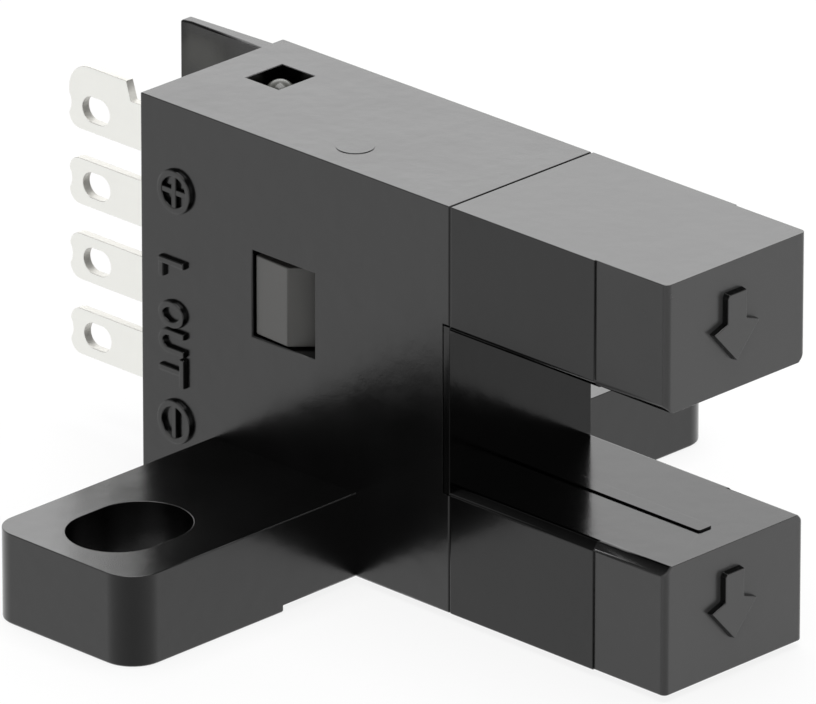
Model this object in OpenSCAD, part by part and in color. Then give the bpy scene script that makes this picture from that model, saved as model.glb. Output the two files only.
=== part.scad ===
// Slotted optical switch: a flanged case, a two-pronged optical head that snaps into it,
// and the circuit board, light elements and terminals that they hold.
// Millimetres. +X runs out along the prongs, +Z is up, and z = 0 is the mounting face.
// The origin lies midway between the two mounting slots.

/* [Sensing slot] */
// Width of the slot between the two prongs
gap_w = 5; // [5:0.1:7]
// Length of each prong beyond the front of the case
prong_l = 9; // [8.5:0.1:12]
// Height of each prong
prong_t = 4.2; // [4.2:0.1:5]
// Wall of each prong on the side that faces the slot
gap_wall_t = 0.7; // [0.6:0.05:0.8]
// Wall at the tip of each prong
tip_wall_t = 0.9; // [0.7:0.1:1.2]
// Length of the narrower tip of each prong
tip_l = 2.95; // [2:0.05:3.5]
// Step by which each side of the tip stands in
tip_step = 0.06; // [0.03:0.01:0.1]
// Radius of the upright edges at the tip
tip_r = 0.2; // [0.1:0.05:0.4]
// Chamfer along the prong edges beside the slot
gap_chamfer = 0.25; // [0.1:0.05:0.4]

/* [Sensing rib] */
// Width of the raised window strip on each prong
rib_w = 0.6; // [0.4:0.1:1]
// Height of the strip above the slot face
rib_h = 0.06; // [0.04:0.01:0.15]
// Radius of the corners at the end of the strip
rib_r = 0.12; // [0.05:0.01:0.2]
// Distance from the end of the strip to the prong tip
rib_setback = 1.2; // [0.8:0.1:2]

/* [Case] */
// Thickness of the body, from one flanged side to the other
body_t = 6.2; // [6:0.1:7]
// Length of the case, from its back to the seam with the head
case_l = 13.3; // [13:0.1:14.5]
// Distance from the mounting line to the front of the case
front_reach = 7.1; // [6.8:0.1:7.8]
// Thickness of the side, top and bottom walls
wall_t = 0.8; // [0.7:0.05:0.85]
// Thickness of the wall that carries the terminals
back_wall_t = 1.2; // [0.9:0.1:1.4]
// Diameter of the round ejector mark on the top
mark_d = 1.2; // [0.8:0.1:1.6]
// Height of the ejector mark above the top
mark_h = 0.05; // [0.03:0.01:0.08]
// Distance of the ejector mark from the front of the case
mark_setback = 5.44; // [4.5:0.1:7]
// Distance of the ejector mark from the middle plane
mark_offset = 1.64; // [1:0.1:2]

/* [Flanges] */
// Wall between each mounting slot and the end of its flange
flange_end_wall = 0.85; // [0.6:0.05:2]
// Wall between each mounting slot and the long sides of its flange
flange_side_wall = 1.5; // [1.2:0.1:2.5]
// Height of the flange top above the mounting face
flange_t = 3; // [2.4:0.1:4]
// Radius of the two wide flange corners, at the near front and the far back
flange_wide_r = 1.1; // [0.8:0.1:2]
// Radius of the two tight flange corners
flange_tight_r = 0.6; // [0.4:0.1:1.5]
// Height of the pads that touch the mounting surface
pad_h = 0.2; // [0.1:0.05:0.4]
// Distance of the pads from the middle plane
pad_start = 6.2; // [5:0.1:7]

/* [Mounting slots] */
// Width of each mounting slot
mount_slot_w = 3.2; // [3:0.1:3.6]
// Length of each mounting slot along the flange
mount_slot_l = 4.2; // [4:0.1:4.8]
// Distance between the centres of the two slots
mount_spacing = 19.5; // [19:0.1:20]

/* [Snap latch] */
// Width of the window in each side wall
window_w = 2.7; // [2.5:0.1:3]
// Height of the window
window_h = 2.85; // [2.5:0.05:3.2]
// Gap between the hook and the top of the window
hook_gap = 0.17; // [0.1:0.01:0.3]
// Distance of the hook's crest from the middle of the window
crest_x = 0.15; // [0:0.05:0.3]
// Depth of the hook's crest below the case surface
crest_depth = 0.03; // [0.02:0.01:0.1]
// Further depth of the hook's leading end
ramp_depth = 0.08; // [0.05:0.01:0.2]
// Length of the latch arm behind the window
arm_tail = 0.5; // [0.2:0.1:0.9]
// Shoulder of the latch arm above and below the hook
arm_shoulder = 0.6; // [0.3:0.1:1]

/* [Connector tongue] */
// Length of the tongue behind the case
tongue_l = 3.4; // [2.5:0.1:4]
// Distance of the tongue's inner face from the middle plane
tongue_y = 2.1; // [1.8:0.05:2.2]
// Thickness of the tongue at its root
tongue_root_t = 0.57; // [0.5:0.01:0.65]
// Thickness of the tongue behind its barb
tongue_tip_t = 0.38; // [0.3:0.01:0.45]
// Height of the barb at the tongue's end
barb_h = 0.1; // [0.06:0.02:0.2]
// Length of the barb's slope
barb_l = 0.4; // [0.3:0.05:0.6]

/* [Terminals] */
// Distance between neighbouring terminals
terminal_spacing = 2.54; // [2.5:0.01:2.54]
// Width of each terminal blade
blade_w = 1.55; // [1.4:0.05:1.7]
// Thickness of each terminal blade
blade_t = 0.3; // [0.25:0.05:0.4]
// Length of each terminal behind the case
blade_reach = 6.15; // [5.5:0.05:7]
// Corner radius of the blade ends
blade_corner_r = 0.45; // [0.2:0.05:0.5]
// Depth of the hollow in the blade ends
end_hollow = 0.1; // [0.05:0.01:0.15]
// Length of the eyelet along each blade
eyelet_l = 1.2; // [1.1:0.05:1.5]
// Width of the eyelet
eyelet_w = 0.85; // [0.7:0.05:1]
// Distance from the eyelet's centre to the blade end
eyelet_setback = 1.2; // [1:0.05:1.5]
// Extra height of the supply terminal's wide end
key_h = 0.62; // [0.3:0.02:0.8]
// Length of the supply terminal's wide end
key_l = 2.55; // [2.2:0.05:3.2]
// Slope at the foot of the wide end's shoulder
key_lean = 0.2; // [0.1:0.05:0.3]
// Corner radius of the wide end
key_r = 0.9; // [0.6:0.1:1]
// Width of the soldered tail of each terminal
tail_w = 0.8; // [0.6:0.05:0.8]
// Length of the soldered tail
tail_l = 2.1; // [1.6:0.1:2.2]

/* [Circuit board] */
// Thickness of the circuit board
board_t = 0.8; // [0.6:0.1:0.9]
// Gap between the board and the head's cross wall
board_gap = 0.1; // [0.05:0.05:0.4]
// Depth to which the guide rails hold the board's edges
rail_grip = 0.4; // [0.3:0.05:0.4]
// Thickness of each rail beside the board
rail_t = 0.5; // [0.4:0.05:0.5]
// Distance of the rails from the terminal tails and from the leads
rail_clear = 0.3; // [0.2:0.05:0.6]

/* [Light elements] */
// Length of the emitter and receiver along the prongs
element_l = 3; // [2.5:0.1:3.4]
// Radius of the lens base on each element
lens_r = 1; // [0.7:0.1:1.1]
// Height of the lens on each element
lens_h = 0.35; // [0.25:0.05:0.35]
// Room around each lens in the prong's wall
lens_room = 0.1; // [0.05:0.01:0.15]
// Width and thickness of each wire lead
lead_w = 0.3; // [0.25:0.05:0.35]
// Distance between the two leads of an element
lead_spacing = 1; // [0.9:0.05:1.1]
// Length of each lead that lies on the board
lead_lap = 1.6; // [1.4:0.1:1.8]

/* [Indicator] */
// Length of the indicator opening along the body
pilot_l = 1.42; // [1.3:0.02:1.6]
// Width of the indicator opening across the body
pilot_w = 1.6; // [1.4:0.05:1.7]
// Distance from the back of the case to the middle of the opening
pilot_setback = 2.2; // [2.1:0.05:2.4]
// Diameter of the indicator's dome
dome_d = 1; // [0.7:0.1:1.1]
// Depth of the dome's crown below the top of the case
dome_depth = 0.1; // [0.05:0.05:0.2]
// Height of the dome above the lamp's base
dome_h = 1.1; // [1:0.05:1.2]
// Length of the lamp's base along the body
lamp_l = 1.2; // [1:0.05:1.3]
// Width of the lamp's base across the body
lamp_w = 1.5; // [1.3:0.05:1.6]
// Height of the lamp's base
lamp_h = 0.8; // [0.6:0.05:0.9]

/* [Chips] */
// Height of each moulded chip body
chip_h = 0.95; // [0.7:0.05:1]
// Gap between a chip body and the board
chip_lift = 0.1; // [0.05:0.01:0.15]
// Thickness of the chip legs
leg_t = 0.15; // [0.1:0.01:0.2]
// Width of the chip legs
leg_w = 0.3; // [0.2:0.05:0.5]
// Reach of a leg before it bends down
leg_run = 0.25; // [0.15:0.05:0.3]
// Length of a leg's foot
leg_foot = 0.3; // [0.2:0.05:0.35]
// Length of the amplifier along the board
amplifier_l = 2; // [1.6:0.1:2.2]
// Width of the amplifier
amplifier_w = 2.9; // [2.5:0.1:3]
// Distance between neighbouring amplifier legs
amplifier_leg_spacing = 0.95; // [0.7:0.05:1.1]
// Length of the output transistor along the board
transistor_l = 1.3; // [1:0.1:1.4]
// Width of the output transistor
transistor_w = 2.9; // [2.5:0.1:3]
// Distance between the transistor's paired legs
transistor_leg_spacing = 1.9; // [1.6:0.1:2.2]
// Length of the protection diode along the board
diode_l = 1.25; // [1:0.05:1.3]
// Width of the protection diode
diode_w = 1.7; // [1.4:0.1:1.7]
// Length of each chip resistor
resistor_l = 1; // [0.6:0.1:1]
// Width of each chip resistor
resistor_w = 0.5; // [0.3:0.05:0.6]
// Height of each chip resistor
resistor_h = 0.35; // [0.25:0.05:0.45]
// Length of each chip capacitor
capacitor_l = 1.6; // [1:0.1:1.6]
// Width of each chip capacitor
capacitor_w = 0.8; // [0.5:0.05:0.8]
// Height of each chip capacitor
capacitor_h = 0.8; // [0.5:0.05:1]

/* [Solder] */
// Radius of the solder fillet on each terminal tail
tail_solder_r = 0.55; // [0.52:0.01:0.6]
// Length of the solder fillet on each terminal tail
tail_solder_l = 1.2; // [0.8:0.1:1.6]
// Radius of the solder fillet on each lead
lead_solder_r = 0.4; // [0.38:0.01:0.45]
// Length of the solder fillet on each lead
lead_solder_l = 1; // [0.8:0.1:1.2]

/* [Fits] */
// Clearance on each side where one piece slides into another
fit = 0.05; // [0.04:0.01:0.06]
// Wall of the head's skirt and of its latch arms
skirt_t = 0.5; // [0.4:0.05:0.5]
// Length of the skirt inside the case
skirt_l = 2; // [1.6:0.1:2.2]
// Thickness of the head's cross wall at the slot's root
web_t = 1; // [0.8:0.1:1.2]
// Thickness of the lip that carries the cross wall out to the case's sides
lip_t = 0.25; // [0.2:0.05:0.4]

/* [Hidden] */
$fn = 64;
EPS = 0.01;

// Body and sensing slot
body_h = gap_w + 2 * prong_t;
top_z = pad_h + body_h;
mid_z = pad_h + body_h / 2;
half_t = body_t / 2;
gap_lo = pad_h + prong_t;
back_x = front_reach - case_l;
tip_x = front_reach + prong_l;

// Flanges
flange_span = mount_spacing + mount_slot_l + 2 * flange_end_wall;
flange_w = mount_slot_w + 2 * flange_side_wall;

// Inside of the case
in_y = half_t - wall_t;
in_h = body_h - 2 * wall_t;
in_back = back_x + back_wall_t;

// Skirt of the head, and the bore that it leaves
skirt_y = in_y - fit;
skirt_h = in_h - 2 * fit;
skirt_back = front_reach - skirt_l;
bore_y = skirt_y - skirt_t;
bore_h = skirt_h - 2 * skirt_t;
web_back = front_reach - web_t;
web_h = gap_w + 2 * gap_wall_t;
root_lap = web_t / 2;
lip_h = gap_w + 2 * gap_chamfer;

// Latch window and hook
window_z = mid_z;
hook_z = window_z + fit;
hook_h = window_h - fit - hook_gap;
hook_back = -window_w / 2 + fit;
crest_y = half_t - crest_depth;
arm_back = -window_w / 2 - arm_tail;

// Circuit board
board_y = -blade_t / 2;
board_h = bore_h - 2 * fit;
board_lo = mid_z - board_h / 2;
board_front = web_back - board_gap;
board_l = board_front - in_back;
lead_back = board_front - lead_lap;
rail_back = in_back + tail_l + rail_clear;
rail_front = lead_back - rail_clear;
rail_y = board_y - board_t - fit - rail_t;
rail_w = board_t + 2 * fit + 2 * rail_t;

// Light elements
element_x = tip_x - tip_wall_t - element_l;
element_h = (bore_h - web_h) / 2 - fit;
element_w = 2 * (bore_y - fit);
element_rise = web_h / 2 + element_h / 2;
axis_x = element_x + element_l / 2;
lens_ball_r = (lens_r * lens_r + lens_h * lens_h) / (2 * lens_h);

// Indicator
pilot_x = back_x + pilot_setback;
pilot_y = pilot_w / 2;
dome_top = top_z - dome_depth;
lamp_top = dome_top - dome_h;

// Places of the chips on the board, from its back edge and from the middle height
amplifier_at = [5.6, 1.3];
transistor_at = [4.4, -2.6];
diode_at = [6.9, -2.2];
resistor_at = [[3, 3.7], [4.6, 3.7], [6.2, 3.7], [3, 1.2]];
capacitor_at = [[3.2, -0.6], [6.3, -4.25]];
amplifier_size = [amplifier_l, chip_h, amplifier_w];
transistor_size = [transistor_l, chip_h, transistor_w];
diode_size = [diode_l, chip_h, diode_w];
resistor_size = [resistor_l, resistor_h, resistor_w];
capacitor_size = [capacitor_l, capacitor_h, capacitor_w];

function terminal_z(i) = mid_z + (1.5 - i) * terminal_spacing;

// A block centred on the middle plane and on the body's middle height
module middle_block(x, l, w, h) {
    translate([x, -w / 2, mid_z - h / 2])
        cube([l, w, h]);
}

// Copies the children to both sides of the middle plane
module both_sides() {
    children();
    mirror([0, 1, 0])
        children();
}

// Copies the children to the upper and lower prong
module both_prongs() {
    children();
    lower_prong()
        children();
}

// Turns a piece of the upper prong over to the lower one
module lower_prong() {
    translate([0, 0, 2 * mid_z])
        mirror([0, 0, 1])
            children();
}

// Quarter of the flange plate at the far front, with its round corner
module flange_quarter(r) {
    half_w = flange_w / 2;
    half_l = flange_span / 2;
    translate([-EPS, -EPS])
        square([half_w - r + EPS, half_l + EPS]);
    translate([-EPS, -EPS])
        square([half_w + EPS, half_l - r + EPS]);
    translate([half_w - r, half_l - r])
        circle(r);
}

// Slot with round ends, centred at the origin
module obround(l, w) {
    square([l - w, w], center = true);
    for (s = [-1, 1])
        translate([s * (l - w) / 2, 0])
            circle(d = w);
}

// Flat tab that starts at the origin with two round corners
module tab(l, w, r) {
    translate([r, -w / 2])
        square([l - r, w]);
    translate([0, -w / 2 + r])
        square([2 * r, w - 2 * r]);
    for (s = [-1, 1])
        translate([r, s * (w / 2 - r)])
            circle(r);
}

module mounting_slot() {
    translate([0, 0, -EPS])
        linear_extrude(flange_t + 2 * EPS)
            rotate(90)
                obround(mount_slot_l, mount_slot_w);
}

module flanges() {
    difference() {
        linear_extrude(flange_t)
            for (turn = [0, 180])
                rotate(turn) {
                    flange_quarter(flange_tight_r);
                    mirror([0, 1])
                        flange_quarter(flange_wide_r);
                }
        translate([-flange_w, -pad_start, -EPS])
            cube([2 * flange_w, 2 * pad_start, pad_h + EPS]);
    }
}

module ejector_mark() {
    translate([front_reach - mark_setback, -mark_offset, top_z - EPS])
        cylinder(d = mark_d, h = mark_h + EPS);
}

// Wall behind the case that a plug's housing hooks on to
module tongue() {
    end_x = back_x - tongue_l;
    outline = [
        [back_x + EPS, tongue_y],
        [end_x + barb_l, tongue_y],
        [end_x, tongue_y - barb_h],
        [end_x, tongue_y + tongue_tip_t],
        [back_x + EPS, tongue_y + tongue_root_t]
    ];
    translate([0, 0, pad_h])
        linear_extrude(body_h)
            polygon(outline);
}

// Grooved rail that holds one long edge of the board
module board_rail(groove_room) {
    rail_h = (in_h - board_h) / 2 + rail_grip;
    translate([rail_back, rail_y, mid_z + in_h / 2 - rail_h])
        difference() {
            cube([rail_front - rail_back, rail_w, rail_h + EPS]);
            translate([-EPS, rail_t, -EPS])
                cube([rail_front - rail_back + 2 * EPS, board_t + 2 * fit, rail_grip + groove_room + EPS]);
        }
}

module case_openings() {
    translate([in_back, -in_y, mid_z - in_h / 2])
        cube([case_l, 2 * in_y, in_h]);
    middle_block(front_reach - lip_t - fit, case_l, 2 * body_t, lip_h + 2 * fit);
    translate([-window_w / 2, -body_t, window_z])
        cube([window_w, 2 * body_t, window_h]);
    translate([pilot_x - pilot_l / 2, pilot_y - pilot_w / 2, mid_z])
        cube([pilot_l, pilot_w, body_h]);
    for (i = [0:3])
        translate([back_x - EPS, -blade_t / 2 - fit, terminal_z(i) - blade_w / 2 - fit])
            cube([back_wall_t + 2 * EPS, blade_t + 2 * fit, blade_w + 2 * fit]);
    for (s = [-1, 1])
        translate([0, s * mount_spacing / 2, 0])
            mounting_slot();
}

module case() {
    color("#474747") {
        difference() {
            union() {
                translate([back_x, -half_t, pad_h])
                    cube([case_l, body_t, body_h]);
                ejector_mark();
                flanges();
                tongue();
            }
            case_openings();
        }
        board_rail(fit);
        lower_prong()
            board_rail(0);
    }
}

// Cross-section of the upper prong, chamfered beside the slot
module prong_section(half_w) {
    polygon([
        [half_w, prong_t],
        [half_w, gap_chamfer],
        [half_w - gap_chamfer, 0],
        [gap_chamfer - half_w, 0],
        [-half_w, gap_chamfer],
        [-half_w, prong_t]
    ]);
}

// Upper prong as a solid, with its narrower tip
module prong() {
    tip_half = half_t - tip_step;
    translate([0, 0, gap_lo + gap_w]) {
        translate([front_reach, 0, 0])
            rotate([90, 0, 90])
                linear_extrude(prong_l - tip_l)
                    prong_section(half_t);
        intersection() {
            translate([front_reach, 0, 0])
                rotate([90, 0, 90])
                    linear_extrude(prong_l)
                        prong_section(tip_half);
            translate([tip_x, 0, 0])
                mirror([1, 0, 0])
                    linear_extrude(prong_t)
                        tab(tip_l + EPS, 2 * tip_half, tip_r);
        }
    }
}

// Joins the upper prong to the skirt behind it
module prong_root() {
    root_z = gap_lo + gap_w;
    translate([web_back, -skirt_y, root_z])
        cube([web_t + root_lap, 2 * skirt_y, mid_z + skirt_h / 2 - root_z]);
}

module sensing_rib() {
    translate([tip_x - rib_setback, 0, gap_lo + gap_w - rib_h])
        mirror([1, 0, 0])
            linear_extrude(rib_h + EPS)
                tab(prong_l - rib_setback + EPS, rib_w, rib_r);
}

// Room for a light element and its leads inside the upper prong
module element_cell() {
    cell_z = mid_z + web_h / 2;
    translate([skirt_back - EPS, -bore_y, cell_z])
        cube([tip_x - tip_wall_t - skirt_back + EPS, 2 * bore_y, (bore_h - web_h) / 2]);
    translate([axis_x, 0, cell_z - lens_h - lens_room])
        cylinder(r = lens_r + lens_room, h = lens_h + 2 * lens_room);
}

// Springy arm with its hook, on the far side
module latch_arm() {
    recede = crest_y - skirt_y;
    outline = [
        [skirt_back + EPS, bore_y],
        [skirt_back + EPS, skirt_y],
        [crest_x + recede, skirt_y],
        [crest_x, crest_y],
        [hook_back, crest_y - ramp_depth],
        [hook_back, skirt_y],
        [arm_back, skirt_y],
        [arm_back, bore_y]
    ];
    arm = [
        [skirt_back + EPS, bore_y],
        [skirt_back + EPS, skirt_y],
        [arm_back, skirt_y],
        [arm_back, bore_y]
    ];
    translate([0, 0, hook_z])
        linear_extrude(hook_h)
            polygon(outline);
    translate([0, 0, hook_z - arm_shoulder])
        linear_extrude(hook_h + 2 * arm_shoulder)
            polygon(arm);
}

module optical_head() {
    color("#4d4d4f") {
        difference() {
            union() {
                both_prongs() {
                    prong();
                    prong_root();
                    sensing_rib();
                }
                middle_block(skirt_back, skirt_l, 2 * skirt_y, skirt_h);
                middle_block(front_reach - lip_t, lip_t, body_t, lip_h);
            }
            both_prongs()
                element_cell();
            middle_block(skirt_back - EPS, skirt_l - web_t + EPS, 2 * bore_y, web_h + 2 * EPS);
        }
        both_sides()
            latch_arm();
    }
}

module circuit_board() {
    color("#2f6b45")
        translate([in_back, board_y - board_t, board_lo])
            cube([board_l, board_t, board_h]);
}

// Terminal number i, counted from the top, with its end widened upwards by widen
module terminal(i, widen) {
    end_x = back_x - blade_reach;
    hollow_chord = blade_w / 2 - blade_corner_r;
    hollow_r = (hollow_chord * hollow_chord + end_hollow * end_hollow) / (2 * end_hollow);
    color("#d9d9d4")
        translate([0, blade_t / 2, terminal_z(i)])
            rotate([90, 0, 0])
                linear_extrude(blade_t)
                    difference() {
                        union() {
                            translate([end_x, 0])
                                tab(blade_reach + back_wall_t, blade_w, blade_corner_r);
                            translate([in_back - EPS, -tail_w / 2])
                                square([tail_l + EPS, tail_w]);
                            if (widen > 0) {
                                translate([end_x, widen / 2])
                                    tab(key_l, blade_w + widen, key_r);
                                translate([end_x + key_l, blade_w / 2])
                                    polygon([[-EPS, -EPS], [key_lean, -EPS], [0, widen], [-EPS, widen]]);
                            }
                        }
                        translate([end_x + eyelet_setback, 0])
                            obround(eyelet_l, eyelet_w);
                        translate([end_x - hollow_r + end_hollow, 0])
                            circle(hollow_r);
                    }
}

module supply_terminal() {
    terminal(0, key_h);
}

module mode_terminal() {
    terminal(1, 0);
}

module output_terminal() {
    terminal(2, 0);
}

module common_terminal() {
    terminal(3, 0);
}

// Half-round fillet of solder on the board, around a flat strip that runs along X
module solder_fillet(x, z, r, l, strip_w, strip_t) {
    translate([x, board_y, z])
        difference() {
            rotate([0, 90, 0])
                cylinder(r = r, h = l);
            translate([-EPS, -2 * r, -2 * r])
                cube([l + 2 * EPS, 2 * r, 4 * r]);
            translate([-EPS, -EPS, -strip_w / 2])
                cube([l + 2 * EPS, strip_t + EPS, strip_w]);
        }
}

module terminal_solder() {
    color("#b9bcc0")
        for (i = [0:3])
            solder_fillet(in_back + (tail_l - tail_solder_l) / 2, terminal_z(i),
                          tail_solder_r, tail_solder_l, tail_w, blade_t);
}

// Moulded element in the upper prong, its lens towards the slot
module light_element() {
    element_z = mid_z + element_rise - element_h / 2;
    translate([element_x, -element_w / 2, element_z])
        cube([element_l, element_w, element_h]);
    translate([axis_x, 0, element_z - lens_h])
        intersection() {
            translate([0, 0, lens_ball_r])
                sphere(lens_ball_r);
            cylinder(r = lens_r, h = lens_h + EPS);
        }
}

// Both leads of the upper element, lying on the board at one end
module element_leads() {
    for (s = [-1, 1])
        translate([lead_back, board_y, mid_z + element_rise + s * lead_spacing / 2 - lead_w / 2])
            cube([element_x - lead_back, lead_w, lead_w]);
}

module infrared_emitter() {
    color("#5a5f78")
        light_element();
}

module infrared_receiver() {
    color("#26262b")
        lower_prong()
            light_element();
}

module emitter_leads() {
    color("#c4c6c8")
        element_leads();
}

module receiver_leads() {
    color("#c4c6c8")
        lower_prong()
            element_leads();
}

module lead_solder() {
    color("#b9bcc0")
        for (side = [-1, 1], s = [-1, 1])
            solder_fillet(lead_back + (lead_lap - lead_solder_l) / 2,
                          mid_z + side * (element_rise + s * lead_spacing / 2),
                          lead_solder_r, lead_solder_l, lead_w, lead_w);
}

module indicator_lamp() {
    dome_r = dome_d / 2;
    color("#e6e3d8") {
        translate([pilot_x - lamp_l / 2, board_y, lamp_top - lamp_h])
            cube([lamp_l, lamp_w, lamp_h]);
        translate([pilot_x, pilot_y, lamp_top - EPS])
            cylinder(r = dome_r, h = dome_top - dome_r - lamp_top + EPS);
        translate([pilot_x, pilot_y, dome_top - dome_r])
            sphere(dome_r);
    }
}

// Moves the children to a place on the board's fitted face
module on_board(at) {
    translate([in_back + at[0], board_y, mid_z + at[1]])
        children();
}

// Block that stands on the board at the given height
module chip_body(size, lift) {
    translate([-size[0] / 2, lift, -size[2] / 2])
        cube(size);
}

// Bent leg that leaves a chip's side at mid height and stands on the board
module chip_leg(size) {
    leg_z = chip_lift + size[1] / 2;
    outline = [
        [0, leg_z],
        [0, leg_z + leg_t],
        [leg_run + leg_t, leg_z + leg_t],
        [leg_run + leg_t, leg_t],
        [leg_run + leg_t + leg_foot, leg_t],
        [leg_run + leg_t + leg_foot, 0],
        [leg_run, 0],
        [leg_run, leg_z]
    ];
    translate([0, 0, -leg_w / 2])
        linear_extrude(leg_w)
            polygon(outline);
}

module amplifier_chip() {
    color("#2b2b2d")
        on_board(amplifier_at)
            chip_body(amplifier_size, chip_lift);
}

module amplifier_legs() {
    color("#c4c6c8")
        on_board(amplifier_at)
            for (turn = [0, 180], row = [-1:1])
                translate([0, 0, row * amplifier_leg_spacing])
                    rotate([0, turn, 0])
                        translate([amplifier_size[0] / 2, 0, 0])
                            chip_leg(amplifier_size);
}

module output_transistor() {
    color("#2b2b2d")
        on_board(transistor_at)
            chip_body(transistor_size, chip_lift);
}

module transistor_legs() {
    color("#c4c6c8")
        on_board(transistor_at) {
            for (s = [-1, 1])
                translate([transistor_size[0] / 2, 0, s * transistor_leg_spacing / 2])
                    chip_leg(transistor_size);
            rotate([0, 180, 0])
                translate([transistor_size[0] / 2, 0, 0])
                    chip_leg(transistor_size);
        }
}

module protection_diode() {
    color("#2b2b2d")
        on_board(diode_at)
            chip_body(diode_size, chip_lift);
}

module diode_legs() {
    color("#c4c6c8")
        on_board(diode_at)
            for (turn = [90, -90])
                rotate([0, turn, 0])
                    translate([diode_size[2] / 2, 0, 0])
                        chip_leg(diode_size);
}

module chip_resistors() {
    color("#3a3f4a")
        for (at = resistor_at)
            on_board(at)
                chip_body(resistor_size, 0);
}

module chip_capacitors() {
    color("#b08d66")
        for (at = capacitor_at)
            on_board(at)
                chip_body(capacitor_size, 0);
}

case();
optical_head();
circuit_board();
supply_terminal();
mode_terminal();
output_terminal();
common_terminal();
terminal_solder();
infrared_emitter();
emitter_leads();
infrared_receiver();
receiver_leads();
lead_solder();
indicator_lamp();
amplifier_chip();
amplifier_legs();
output_transistor();
transistor_legs();
protection_diode();
diode_legs();
chip_resistors();
chip_capacitors();
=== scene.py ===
"""Looks of a slotted optical switch: satin black mouldings, plated terminals and the parts inside."""
import math

import bmesh
import bpy
from mathutils import Matrix, Vector


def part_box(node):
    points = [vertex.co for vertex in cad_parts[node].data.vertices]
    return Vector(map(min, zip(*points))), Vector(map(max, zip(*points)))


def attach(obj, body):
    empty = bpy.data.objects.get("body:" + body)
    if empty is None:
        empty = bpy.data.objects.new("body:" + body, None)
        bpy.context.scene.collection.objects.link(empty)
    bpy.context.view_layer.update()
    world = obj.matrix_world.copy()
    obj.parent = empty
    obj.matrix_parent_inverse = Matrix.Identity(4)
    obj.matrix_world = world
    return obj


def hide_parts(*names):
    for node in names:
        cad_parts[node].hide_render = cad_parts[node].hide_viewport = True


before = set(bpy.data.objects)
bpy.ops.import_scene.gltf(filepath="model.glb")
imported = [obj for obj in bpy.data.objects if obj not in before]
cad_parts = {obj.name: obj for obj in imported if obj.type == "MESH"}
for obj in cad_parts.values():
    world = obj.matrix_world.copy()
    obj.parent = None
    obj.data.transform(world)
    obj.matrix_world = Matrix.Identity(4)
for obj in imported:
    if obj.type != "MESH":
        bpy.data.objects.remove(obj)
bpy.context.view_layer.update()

MM = 0.001

# Places that the frame gives
case_low, case_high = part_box("case")
head_low, head_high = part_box("optical_head")
SEAM_X = case_high.x
TIP_X = head_high.x
TOP_Z = head_high.z
BODY_LOW_Z = head_low.z
SIDE_Y = head_high.y
MID_Z = (TOP_Z + BODY_LOW_Z) / 2

# What counts as one place, as one flat face and as a sharp edge
WELD_GAP = 0.001 * MM
SLACK = 0.01 * MM
FLAT_ANGLE = math.radians(0.3)
SHARP_ANGLE = math.radians(25)

# Sensing slot with the ribs in it, and the narrower tips of the prongs
SLOT_LOW_Z = MID_Z - 2.5 * MM
SLOT_HIGH_Z = MID_Z + 2.5 * MM
SLOT_CHAMFER = 0.25 * MM
RIB_HALF_W = 0.4 * MM
RIB_ROOM = 0.1 * MM
TIP_START_X = TIP_X - 2.95 * MM
TIP_EDGE_R = 0.2 * MM
TOP_EDGE_ROOM = 0.1 * MM

# Inside of the case, its front rim, and the skirt and hooks of the head behind that rim
INSIDE_Y = SIDE_Y - 0.7 * MM
INSIDE_LOW_Z = BODY_LOW_Z + 0.7 * MM
INSIDE_HIGH_Z = TOP_Z - 0.7 * MM
INSIDE_BACK_X = case_low.x + 3.5 * MM
RIM_X = SEAM_X - 0.4 * MM
SKIRT_X = SEAM_X - 0.3 * MM
HOOK_Y = SIDE_Y - 0.5 * MM
HOOK_END_X = 2.5 * MM

# Latch windows and the opening over the lamp, with a little room around them
WINDOW_HALF_L = 1.4 * MM
WINDOW_LOW_Z = MID_Z - 0.1 * MM
LAMP_OPENING_LOW = Vector((-4.8, -0.1)) * MM
LAMP_OPENING_HIGH = Vector((-3.2, 1.7)) * MM

# Flange plate, and the corners that the photograph shows a little rounder than the frame
FLANGE_TOP_Z = 3.0 * MM
FLANGE_HALF_W = 3.1 * MM
CORNER_R = 0.6 * MM
ROUNDER_CORNER_R = 0.93 * MM

# Ejector mark on the top, which the photograph shows fainter than the frame
EJECTOR = Vector((1.66, -1.64)) * MM
EJECTOR_REACH = 0.8 * MM
EJECTOR_RELIEF = 0.02 * MM

# Roundings of the edges
CASE_ROUND = 0.08 * MM
WINDOW_ROUND = 0.04 * MM
LAMP_OPENING_ROUND = 0.03 * MM
FLANGE_TOP_ROUND = 0.025 * MM
EJECTOR_ROUND = 0.008 * MM
SEAM_ROUND = 0.07 * MM
LIP_ROUND = 0.01 * MM
HEAD_ROUND = 0.06 * MM
HEAD_TOP_ROUND = 0.015 * MM
HOOK_ROUND = 0.05 * MM
RIB_ROUND = 0.02 * MM
TIP_START_ROUND = 0.02 * MM
BLADE_ROUND = 0.018 * MM
LAMP_ROUND = 0.04 * MM
MARK_ROUND = 0.035 * MM
ARROW_ROUND = 0.03 * MM
CAP_ROUND = 0.03 * MM

# Raised marks beside the terminals, with their places along X and Z; drops keep crossing strokes apart
MARK_RELIEF = 0.15 * MM
MARK_STROKE = 0.2 * MM
MARK_LEAN = 0.03 * MM
MARK_SINK = 0.02 * MM
MARK_DROPS = (0.0, 0.012 * MM, 0.024 * MM)
LETTER_BASE_X = -5.21 * MM
L_AT = (LETTER_BASE_X, 8.38 * MM)
O_AT = (LETTER_BASE_X, 6.98 * MM)
U_AT = (LETTER_BASE_X, 6.03 * MM)
T_AT = (LETTER_BASE_X, 4.78 * MM)
PLUS_AT = (-4.62 * MM, 10.76 * MM)
MINUS_AT = (-4.67 * MM, 3.08 * MM)

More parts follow.
